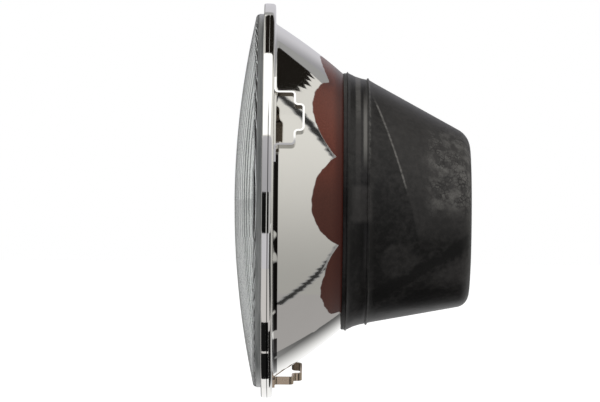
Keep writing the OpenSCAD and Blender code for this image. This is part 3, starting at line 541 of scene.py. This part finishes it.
def boot_finish():
    """Black rubber with a crease, scuffs, fine cracks and pale bloom, and painted light: a lighter top,
    highlights on the band, shade in the crease and reflections on the cone.
    """
    finish, tree, rubber = new_finish("boot_rubber")
    place = own_place(tree)
    x, y, z = along_each(tree, place)
    cloud = speckle(tree, place, 28.0, 5.0, 0.6)
    fine = speckle(tree, place, 420.0, 4.0, 0.65)
    uneven = spread(tree, cloud, 0.3, 0.7, -1.4 * mm, 1.4 * mm)

    def within(value, low, high, soft):
        """A mask that is full between low and high, with both its edges eased."""
        return times(tree, eased(tree, value, low - soft, low + soft, 0.0, 1.0),
                     eased(tree, value, high - soft, high + soft, 1.0, 0.0))

    # On the cone: a panel past a slanting line, lighter with bloom and painted reflection, and a painted
    # reflection edge along the line.
    slant_lean = plus(tree, times(tree, z, 0.26), times(tree, z, z, 1.8))
    past_slant = minus(tree, x, minus(tree, 63.2 * mm, slant_lean))
    bloom_and_reflection_panel = times(tree, spread(tree, past_slant, -0.3 * mm, 0.7 * mm, 0.0, 1.0),
                        eased(tree, z, -22 * mm, -10 * mm, 0.0, 1.0))
    reflection_edge_line = times(tree, within(past_slant, -0.35 * mm, 0.45 * mm, 0.25 * mm),
                      within(z, 6 * mm, 46 * mm, 4 * mm), spread(tree, fine, 0.4, 0.6, 0.3, 1.0))
    # Painted shade lies in a crease that runs down, and a painted floor reflection on a panel below it.
    off_crease = plus(tree, minus(tree, z, times(tree, x, 0.62)), 72.0 * mm, uneven)
    crease_painted_shade = times(tree, within(off_crease, -2.6 * mm, 1.4 * mm, 2.2 * mm),
                        spread(tree, x, 40 * mm, 52 * mm, 0.0, 1.0))
    floor_reflection_panel = times(tree, eased(tree, off_crease, -9 * mm, -4 * mm, 1.0, 0.0),
                      eased(tree, x, 66 * mm, 78 * mm, 0.0, 1.0),
                      spread(tree, z, -40 * mm, -34 * mm, 0.0, 1.0))

    # Wear: a scuffed corner with fine cracks, a round mark, and a pale patch on the band.
    scuffed = times(tree, eased(tree, plus(tree, minus(tree, x, 68 * mm), uneven), 0.0, 9 * mm, 0.0, 1.0),
                    within(z, -3 * mm, 32 * mm, 6 * mm))
    rubbed = times(tree, scuffed, spread(tree, speckle(tree, place, 190.0, 5.0, 0.7), 0.42, 0.64, 0.0, 0.65))
    cracks = add_node(tree, "ShaderNodeTexVoronoi", [("Vector", place), ("Scale", 520.0)],
                      feature="DISTANCE_TO_EDGE").outputs["Distance"]
    wrinkle = times(tree, spread(tree, cracks, 0.02, 0.12, 1.0, 0.0), scuffed,
                    spread(tree, speckle(tree, place, 130.0), 0.42, 0.58, 0.0, 1.0))
    patch = times(tree, within(plus(tree, x, uneven), 37 * mm, 46 * mm, 1.2 * mm),
                  within(z, -9 * mm, 7 * mm, 1.5 * mm))
    off_mark = length(tree, minus(tree, x, 58.5 * mm), plus(tree, z, 26.5 * mm))
    round_mark = spread(tree, plus(tree, off_mark, times(tree, uneven, 0.4)), 7.4 * mm, 8.6 * mm, 1.0, 0.0)

    # On the band, painted highlights: a stripe in its hollow, stronger towards the top, a strip before the
    # ridge and a broken one on the ridge's upper part.
    hollow_highlight = times(tree, within(x, 39.0 * mm, 41.2 * mm, 0.4 * mm),
                   spread(tree, z, -6 * mm, 24 * mm, 0.1, 1.0))
    hollow_highlight_top = times(tree, hollow_highlight, spread(tree, z, 34 * mm, 42 * mm, 0.0, 1.0),
                       spread(tree, fine, 0.35, 0.6, 0.5, 1.0))
    strip_highlight = times(tree, within(x, 42.5 * mm, 44.2 * mm, 0.5 * mm), within(z, 20 * mm, 44 * mm, 8 * mm))
    ridge_highlight = times(tree, within(x, 44.9 * mm, 45.8 * mm, 0.3 * mm),
                       spread(tree, z, 12 * mm, 26 * mm, 0.0, 1.0), spread(tree, fine, 0.42, 0.58, 0.0, 1.0))

    pale = spread(tree, times(tree, cloud, fine), 0.2, 0.42, 0.0, 0.55)
    # The top of the boot is painted lighter, as light falls on it from above.
    upper = spread(tree, z, 5 * mm, 40 * mm, 0.0, 1.0)
    for amount, mask in ((0.40, bloom_and_reflection_panel), (0.35, scuffed), (0.6, patch), (0.22, round_mark),
                         (0.4, floor_reflection_panel), (0.6, hollow_highlight), (0.30, upper)):
        pale = plus(tree, pale, times(tree, mask, amount))
    dark = plus(tree, times(tree, crease_painted_shade, 0.6), times(tree, wrinkle, 0.5))
    tone = most(tree, minus(tree, pale, dark), 0.0)
    # The scuffs share a pale colour with the painted highlights and the painted reflection edge.
    bloom_and_highlights = most(tree, reflection_edge_line, rubbed, strip_highlight, times(tree, ridge_highlight, 0.45),
                 times(tree, hollow_highlight_top, 0.5))
    bloom_and_highlights = most(tree, minus(tree, bloom_and_highlights, times(tree, wrinkle, 0.5)), 0.0)
    body = tinted(tree, tone, (0.0055, 0.0052, 0.0048), (0.040, 0.037, 0.035))
    tree.links.new(tinted(tree, bloom_and_highlights, body, (0.17, 0.163, 0.15)), rubber.inputs["Base Color"])
    rough = spread(tree, cloud, 0.3, 0.7, 0.36, 0.5)
    tree.links.new(plus(tree, rough, times(tree, scuffed, 0.12)), rubber.inputs["Roughness"])
    rubber.inputs["Specular IOR Level"].default_value = 0.32
    swell = times(tree, eased(tree, off_crease, -4 * mm, 0.5 * mm, 0.0, 1.0),
                  spread(tree, x, 44 * mm, 60 * mm, 0.0, 1.0))
    height = plus(tree, times(tree, fine, 0.06), times(tree, swell, 0.5))
    height = plus(tree, minus(tree, height, times(tree, wrinkle, 0.08)), times(tree, cloud, 0.25))
    bumpy(tree, rubber, height, 0.6, 1.2 * mm)
    return finish


def cone_drop(x):
    return boot_drop * max(0.0, x - cone_x) / boot_len


def from_corner(radius, x, offsets):
    """Points of an outline, given in millimetres outwards and back from one corner of it."""
    return [(radius + out * mm, x + back * mm) for out, back in offsets]


band_line = (
    from_corner(boot_r, boot_x, [(-0.4, 0.05), (0, 0.5), (0, 1.5), (0.1, 1.8), (0.6, 2.0), (0.6, 2.35),
                                 (0.05, 2.6), (-0.5, 3.8), (-1.4, 5.6)])
    + from_corner(cone_r, boot_x, [(1.3, 7.2), (0.8, 8.8)])
    + from_corner(cone_r, cone_x, [(0.4, -1.4), (0.5, -1.2), (1.0, -1.0), (1.0, -0.4), (0.3, -0.1), (0, 0.2)])
)
slope = (cone_r - back_r) / boot_len
tilt = math.degrees(math.atan(slope))
edge_centre = (back_r - boot_edge + slope * boot_edge * 0.6, boot_back_x - back_crown - boot_edge)
edge_line = arc(edge_centre, boot_edge, tilt, 90, 14)
cone_steps = 14
edge_r, edge_from_x = edge_line[0]
cone_line = [(cone_r + (edge_r - cone_r) * i / cone_steps, cone_x + (edge_from_x - cone_x) * i / cone_steps)
             for i in range(1, cone_steps + 1)] + edge_line[1:]
dish_x = boot_back_x - dish_depth
dish_line = (
    from_corner(dish_r, boot_back_x, [(1.2, -0.15), (0, -0.1), (-1.0, -0.7), (-1.8, -2.2)])
    + from_corner(dish_r, dish_x, [(-2.2, 0)])
    + from_corner(lead_r, dish_x, [(1.9, -0.3), (1.3, 0.6), (0.5, 0.7), (0, 0.2), (0, -3.4), (1.4, -3.6)])
    + from_corner(dish_r, dish_x, [(0, -2.8)])
)
foot_in_r = boot_r - 3.3 * mm
neck_in_r = cone_r - boot_wall
neck_line = [(neck_in_r, cone_x), (neck_in_r, cone_x - 0.6 * mm),
             (neck_in_r + 0.9 * mm, bowl_at(neck_in_r + 0.9 * mm) + 1.2 * mm),
             (foot_in_r, bowl_at(foot_in_r) + 0.15 * mm)]
boot_steps = 256
bm = bmesh.new()
rings = [ring_at(bm, r, x, boot_steps) for r, x in band_line]
rings += [ring_at(bm, r, x, boot_steps, cone_drop(x)) for r, x in cone_line]
last_r, last_x = cone_line[-1]
first_r, first_x = dish_line[0]
flat_drop = cone_drop(last_x)
for u in (0.2, 0.4, 0.6, 0.8):
    x = last_x + (first_x - last_x) * math.sin(u * math.pi / 2)
    rings.append(ring_at(bm, last_r + (first_r - last_r) * u, x, boot_steps, flat_drop * (1 - u)))
rings += [ring_at(bm, r, x, boot_steps) for r, x in dish_line]
for u in (1 / 3, 2 / 3):
    radius = dish_r + (edge_centre[0] - dish_r) * u
    rings.append(ring_at(bm, radius, boot_back_x - boot_wall - 1.2 * mm, boot_steps, flat_drop * u))
inner_edge = arc(edge_centre, boot_edge - boot_wall, 90, tilt, 8)
rings += [ring_at(bm, r, x, boot_steps, cone_drop(x)) for r, x in inner_edge]
rings += [ring_at(bm, r, x, boot_steps) for r, x in neck_line]
skinned(bm, rings)
boot = finished("boot_rubber_cover", bm, 50)
boot.data.materials.append(boot_finish())
stand_in(boot, "boot")

# CLIPS
# Three clips of bent spring strip, each with two tails on the flange and a stepped bridge. The lower one has
# a tan tarnish, and painted shade darkens the faces that look into the slot under a bridge.
tail_top = 1.6 * mm
facing_in = 0.35


def softened(node, width, *finishes):
    """A copy of a CAD node whose edges are rounded a little, put in the node's place."""
    piece = bpy.data.objects.new(node + "_dressed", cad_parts[node].data.copy())
    piece.data.materials.clear()
    bpy.context.scene.collection.objects.link(piece)
    round_off = piece.modifiers.new("edges", "BEVEL")
    round_off.width = width
    round_off.segments = 2
    round_off.limit_method = "ANGLE"
    round_off.angle_limit = math.radians(40)
    as_plain_mesh(piece)
    piece.data.polygons.foreach_set("use_smooth", [True] * len(piece.data.polygons))
    piece.data.set_sharp_from_angle(angle=math.radians(38))
    for finish in finishes:
        piece.data.materials.append(finish)
    stand_in(piece, node)
    return piece


strip_steel = bright_finish("clip_steel", (0.90, 0.89, 0.86), 0.10, 0.03)
strip_shade_side = bright_finish("clip_painted_shade", (0.16, 0.13, 0.10), 0.3, 0.25)
tinted_steel = bright_finish("clip_tinted_steel", (0.66, 0.54, 0.42), 0.22, 0.15)
tinted_shade_side = bright_finish("clip_tinted_painted_shade", (0.30, 0.23, 0.17), 0.35, 0.25)
for node, finishes in (("clip_near", (strip_steel, strip_shade_side)), ("clip_far", (strip_steel, strip_shade_side)),
                       ("clip_lower", (tinted_steel, tinted_shade_side))):
    clip = softened(node, 0.12 * mm, *finishes)
    low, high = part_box(node)
    foot = (low + high) / 2
    foot.x = low.x
    # Faces that look into the slot take the painted shade finish.
    for face in clip.data.polygons:
        inwards = face.normal.dot((foot - face.center).normalized())
        face.material_index = 1 if inwards > facing_in and face.center.x > low.x + tail_top else 0

# SEAL, COLLAR AND BULB SEAT
# The cured ring under the lens's foot, and the pressed steel that carries the boot and the bulb.
# The seat is riveted to the bowl's land, and a wire bail holds the bulb on it.


def moulded_finish(name, dark, pale, rough):
    """Rubber or plastic: two close tones in fine clouding, with a little grain in the surface."""
    finish, tree, shader = new_finish(name)
    place = own_place(tree)
    cloud = speckle(tree, place, 220.0, 4.0, 0.6)
    fine = speckle(tree, place, 1320.0)
    tone = tinted(tree, spread(tree, cloud, 0.3, 0.7, 0.0, 1.0), dark, pale)
    tree.links.new(tone, shader.inputs["Base Color"])
    tree.links.new(spread(tree, fine, 0.3, 0.7, rough * 0.85, rough * 1.15), shader.inputs["Roughness"])
    bumpy(tree, shader, fine, 0.15, 0.05 * mm)
    return finish


softened("lens_seal", 0.05 * mm,
         moulded_finish("cured_seal", (0.035, 0.035, 0.034), (0.07, 0.068, 0.065), 0.6))
softened("boot_collar", 0.1 * mm, bright_finish("collar_steel", (0.80, 0.79, 0.76), 0.16, 0.05))
softened("bulb_seat", 0.12 * mm, bright_finish("zinc_plate", (0.74, 0.72, 0.66), 0.24, 0.08))
softened("seat_rivets", 0.1 * mm, bright_finish("rivet_aluminium", (0.82, 0.82, 0.82), 0.3, 0.1))
softened("bail", 0.02 * mm, bright_finish("bail_wire", (0.55, 0.54, 0.52), 0.18, 0.06))

# MAIN BULB
# Two-filament halogen bulb: flange with lugs, crimped can, ceramic base, three blades, and a
# glass envelope with a painted tip over the shield and the two coils.
painted_tip = 7.5 * mm
softened("bulb_flange", 0.1 * mm, bright_finish("flange_plate", (0.78, 0.74, 0.62), 0.22, 0.08))
softened("bulb_base", 0.12 * mm, bright_finish("base_can", (0.76, 0.75, 0.72), 0.2, 0.07))
softened("bulb_insulator", 0.25 * mm,
         moulded_finish("ceramic", (0.50, 0.47, 0.42), (0.62, 0.59, 0.53), 0.45))
blade_tin = bright_finish("blade_tin", (0.80, 0.76, 0.66), 0.2, 0.08)
for node in ("terminal_left", "terminal_right", "terminal_top"):
    softened(node, 0.15 * mm, blade_tin)
envelope = softened("bulb_glass", 0.05 * mm, glass_finish("bulb_glass", (0.985, 0.99, 0.985), 0.01),
                    moulded_finish("tip_paint", (0.012, 0.012, 0.013), (0.03, 0.03, 0.032), 0.35))
painted_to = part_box("bulb_glass")[0].x + painted_tip
for face in envelope.data.polygons:
    face.material_index = 1 if face.center.x < painted_to else 0
softened("bulb_leads", 0.04 * mm, bright_finish("lead_nickel", (0.66, 0.63, 0.58), 0.25, 0.06))
softened("dip_shield", 0.04 * mm, bright_finish("shield_metal", (0.52, 0.50, 0.48), 0.3, 0.1))
tungsten = bright_finish("tungsten", (0.34, 0.33, 0.32), 0.35, 0.1)
for node in ("dip_filament", "main_filament", "side_filament"):
    softened(node, 0.01 * mm, tungsten)

# SIDELIGHT
# A small capless bulb in a plastic holder, pushed from behind into a brass tube in the lower
# part of the bowl. Its coil is made with the main bulb's two.
brass = bright_finish("brass", (0.76, 0.60, 0.32), 0.22, 0.1)
softened("side_tube", 0.1 * mm, brass)
softened("side_holder", 0.3 * mm,
         moulded_finish("holder_plastic", (0.018, 0.018, 0.019), (0.035, 0.035, 0.036), 0.42))
softened("side_cap", 0.08 * mm, bright_finish("cap_nickel", (0.72, 0.70, 0.66), 0.2, 0.06))
softened("side_glass", 0.05 * mm, glass_finish("side_glass", (0.98, 0.985, 0.98), 0.015))
softened("side_terminal", 0.12 * mm, brass)

# STUDIO
# A pale floor well below the lamp and an even white sky. Round the lamp stands a tent of plain
# cards, pale and dark, that light nothing and are seen by reflections only.
floor_z = cad_box[0][2] - 110 * mm
floor_half = 12.0
floor_corners = [(x * floor_half, y * floor_half, floor_z) for x, y in ((-1, -1), (1, -1), (1, 1), (-1, 1))]
floor_mesh = bpy.data.meshes.new("floor")
floor_mesh.from_pydata(floor_corners, [], [(0, 1, 2, 3)])
floor = bpy.data.objects.new("floor", floor_mesh)
bpy.context.scene.collection.objects.link(floor)
floor_paint, tree, paper = new_finish("floor_paper")
paper.inputs["Base Color"].default_value = (0.85, 0.85, 0.85, 1)
paper.inputs["Roughness"].default_value = 0.9
paper.inputs["Emission Color"].default_value = (1, 1, 1, 1)
rays = add_node(tree, "ShaderNodeLightPath").outputs
seen = most(tree, rays["Is Camera Ray"], rays["Is Glossy Ray"], rays["Is Transmission Ray"])
tree.links.new(times(tree, seen, 0.45), paper.inputs["Emission Strength"])
floor.data.materials.append(floor_paint)
floor.visible_glossy = False

world = bpy.data.worlds.new("studio")
bpy.context.scene.world = world
world.use_nodes = True
tree = world.node_tree
tree.nodes.clear()
rays = add_node(tree, "ShaderNodeLightPath").outputs
seen = most(tree, rays["Is Camera Ray"], rays["Is Glossy Ray"])
strength = minus(tree, spread(tree, seen, 0.0, 1.0, 0.75, 1.0),
                 times(tree, rays["Is Transmission Ray"], 0.25))
sky = add_node(tree, "ShaderNodeBackground", [("Color", (1, 1, 1, 1)), ("Strength", strength)])
add_node(tree, "ShaderNodeOutputWorld", [(0, sky.outputs[0])])

plain = (1.0, 1.0, 1.0)
warm = (1.0, 0.985, 0.94)
amber = (1.0, 0.85, 0.7)
lilac = (0.97, 0.96, 1.02)
rosy = (1.0, 0.97, 0.96)


def tent_card(name, outline, shades, tone=plain):
    """A card of the tent, shaded evenly from its first corner to its second."""
    mesh = bpy.data.meshes.new(name)
    mesh.from_pydata(outline, [], [tuple(range(len(outline)))])
    card = bpy.data.objects.new(name, mesh)
    bpy.context.scene.collection.objects.link(card)
    paint, tree, shader = new_finish(name)
    shader.inputs["Base Color"].default_value = (0, 0, 0, 1)
    shader.inputs["Roughness"].default_value = 1.0
    shader.inputs["Specular IOR Level"].default_value = 0.0
    shader.inputs["Emission Color"].default_value = (*tone, 1)
    start = Vector(outline[0])
    run = Vector(outline[1]) - start
    from_start = add_node(tree, "ShaderNodeVectorMath", [(0, own_place(tree)), (1, start)],
                          operation="SUBTRACT").outputs[0]
    along = add_node(tree, "ShaderNodeVectorMath", [(0, from_start), (1, run / run.length_squared)],
                     operation="DOT_PRODUCT").outputs["Value"]
    tree.links.new(eased(tree, along, 0.0, 1.0, *shades), shader.inputs["Emission Strength"])
    card.data.materials.append(paint)
    for flag in ("visible_camera", "visible_diffuse", "visible_shadow", "visible_transmission"):
        setattr(card, flag, False)


def level_card(name, z, corners, shades, tone=plain):
    tent_card(name, [(x, y, z) for x, y in corners], shades, tone)


def upright_card(name, y, corners, shades, tone=plain):
    tent_card(name, [(x, y, z) for x, z in corners], shades, tone)


def oblong(from_x, to_x, low, high):
    return [(from_x, low), (to_x, low), (to_x, high), (from_x, high)]


roof_z = 1.5
ground_z = -1.62
base_z = -1.0
right_x = 1.9
left_x = -1.6
rear_y = 1.9
front_y = -2.0
card_gap = 0.015

# The roof has a dark opening with a ragged edge, and a bright panel towards the front.
opening = [(-0.1, 0.07), (-0.1, 1.42), (-0.04, 1.53), (0.08, 1.58), (0.8, 1.6), (0.86, 1.88), (0.92, 1.88)]
opening_corner = [(1.0, 1.449), (1.11, 1.374), (1.249, 1.343)]
ragged = [(1.26 + 0.022 * i + (0.05 if i % 2 else -0.03) * (0.4 + 0.6 * math.sin(i)**2), 1.3 - 0.088 * i)
          for i in range(11)]
behind_opening = ([(-1.6, 1.6), (0.8, 1.6)] + opening_corner
                  + [(1.4, 1.3), (2.1, 1.12), (2.1, 1.95), (-1.6, 1.95)])
level_card("tent_opening", roof_z, opening + opening_corner + ragged + [(1.47, 0.07)], (0.012, 0.012), amber)
level_card("tent_roof_rear", roof_z + card_gap, behind_opening, (0.35, 0.35))
level_card("tent_roof", roof_z + 2 * card_gap, oblong(-2.2, 2.2, -2.2, 1.9), (0.77, 0.77), warm)
level_card("tent_lamp", roof_z, oblong(-0.42, 0.42, -1.95, 0.06), (1.3, 1.3))

# A seam of the tent curves down its right side as a soft, uneven dark line with a grey fringe.
seam = [(1.23, 0.13, 1.36), (1.296, 0.097, 1.291), (1.55, -0.08, 0.98), (1.74, -0.19, 0.464),
        (1.76, -0.16, -0.2), (1.684, -0.074, -0.734), (1.5, 0.02, -1.06), (1.301, 0.064, -1.289)]
seam_steps = 16
fine_seam = []
for one, other in zip(seam, seam[1:]):
    for i in range(seam_steps):
        at = Vector(one).lerp(Vector(other), i / seam_steps)
        count = len(fine_seam)
        half_w = 0.036 + 0.022 * math.sin(count * 2.3) * math.sin(count * 0.71)
        fine_seam.append((at, half_w + (0.01 if count % 2 else -0.006)))


def seam_side(side, wider):
    return [at * (1 + wider) + Vector((0, side * (half_w + wider), 0)) for at, half_w in fine_seam]


for name, wider, shade in (("tent_seam", 0.0, 0.035), ("tent_seam_fringe", 0.022, 0.3)):
    tent_card(name, seam_side(-1, wider) + seam_side(1, wider)[::-1], (shade, shade))
right_side = [(1.9, -1.5), (1.9, 1.3), (1.9, roof_z), (-2.2, roof_z), (-2.2, ground_z), (1.9, ground_z)]
tent_card("tent_right", [(right_x, y, z) for y, z in right_side], (0.40, 0.80), warm)

# Behind the lamp the tent is lilac above and shaded below, with stripes towards the lens's side.
upright_card("tent_rear_high", rear_y, [(1.15, 0.0), (0.45, 0.0), (0.45, 1.6), (1.88, 1.6), (1.88, 0.0)],
             (0.36, 0.66), lilac)
upright_card("tent_rear_middle", rear_y, oblong(-0.14, 0.45, 0.0, 1.6), (0.66, 0.66), lilac)
upright_card("tent_rear_low", rear_y, [(1.37, -1.7), (0.25, -1.7), (-0.14, -1.7), (-0.14, 0.0), (1.37, 0.0)],
             (0.12, 1.0))
stripes = [(-0.14, 0.12), (-0.36, 0.34), (-0.56, 0.42), (-0.68, 0.16), (-0.78, 0.3), (-0.9, 0.2), (-1.6, 0.3)]
for i, ((from_x, from_shade), (to_x, to_shade)) in enumerate(zip(stripes, stripes[1:])):
    upright_card("tent_rear_left_%d" % i, rear_y, oblong(from_x, to_x, -1.7, 1.6), (from_shade, to_shade))
lens_side = [(1.9, -1.5), (1.9, 1.5), (-2.2, 1.5), (-2.2, -1.5)]
tent_card("tent_lens_side", [(left_x, y, z) for y, z in lens_side], (0.25, 0.35))

# In front of the lamp, grey cards stand round a dark gap that the camera looks through.
upright_card("tent_front_high", front_y,
             [(left_x, 0.17), (left_x, 1.5), (1.9, 1.5), (1.9, 0.3), (0.85, 0.3), (0.85, 0.17)],
             (0.42, 0.50), lilac)
upright_card("tent_front_middle", front_y, oblong(0.15, 0.85, -0.66, 0.17), (0.5, 0.5))
upright_card("tent_front_dark", front_y, [(0.85, -0.5), (0.85, 0.3), (1.9, 0.3), (1.9, -0.5)], (0.05, 0.35))
upright_card("tent_front_under", front_y,
             [(0.3, -0.66), (0.85, -0.66), (1.9, -0.5), (1.9, ground_z), (0.3, ground_z)], (0.05, 0.05))
upright_card("tent_front_gap", front_y, oblong(left_x, 0.15, -0.66, 0.17), (0.006, 0.006))
upright_card("tent_front_low", front_y, oblong(left_x, 0.3, ground_z, -0.66), (0.62, 0.62), lilac)

# Below it lie a pale sheet, darker ones behind and in front, and three black ones nearer the lamp, a painted
# shade beneath it.
level_card("tent_floor", ground_z,
           [(0.0, 2.2), (1.2, 2.2), (2.2, 2.2), (2.2, -2.2), (-2.2, -2.2), (-2.2, 2.2)], (0.63, 0.39), rosy)
level_card("tent_floor_dark", ground_z + 0.01, oblong(0.35, 1.9, -2.0, -0.5), (0.05, 0.05))
rear_strip = [(1.3, 1.9), (0.25, 1.9), (-0.2, 1.9), (-0.2, 0.95), (0.7, 0.95), (1.02, 1.38), (1.15, 1.56),
              (1.29, 1.78)]
level_card("tent_floor_rear", ground_z + 0.02, rear_strip, (0.12, 0.95))
level_card("tent_base", base_z, oblong(-0.7, 0.085, -0.33, 0.07), (0.008, 0.008))
level_card("tent_base_rear", base_z, oblong(-0.7, 0.085, 0.1, 0.66), (0.008, 0.008))
level_card("tent_under_boot", base_z, oblong(0.09, 0.62, -0.2, 1.1), (0.01, 0.01))

# CAMERA
# Two metres away with a long lens, level with the lamp's axis and square to it, and rolled by
# half a degree as the photograph is.
bpy.context.scene.view_settings.view_transform = "Standard"
camera_data = bpy.data.cameras.new("camera")
camera_data.sensor_width = 36.0
camera_data.lens = 262.8
camera_data.clip_end = 100.0
camera = bpy.data.objects.new("camera", camera_data)
bpy.context.scene.collection.objects.link(camera)
aim_x = 14.35 * mm
reach = 2.0
roll = math.radians(0.55)
level_view = Matrix.Rotation(math.pi / 2, 4, "X")
camera.matrix_world = Matrix.Translation((aim_x, -reach, 0)) @ level_view @ Matrix.Rotation(roll, 4, "Z")
bpy.context.scene.camera = camera
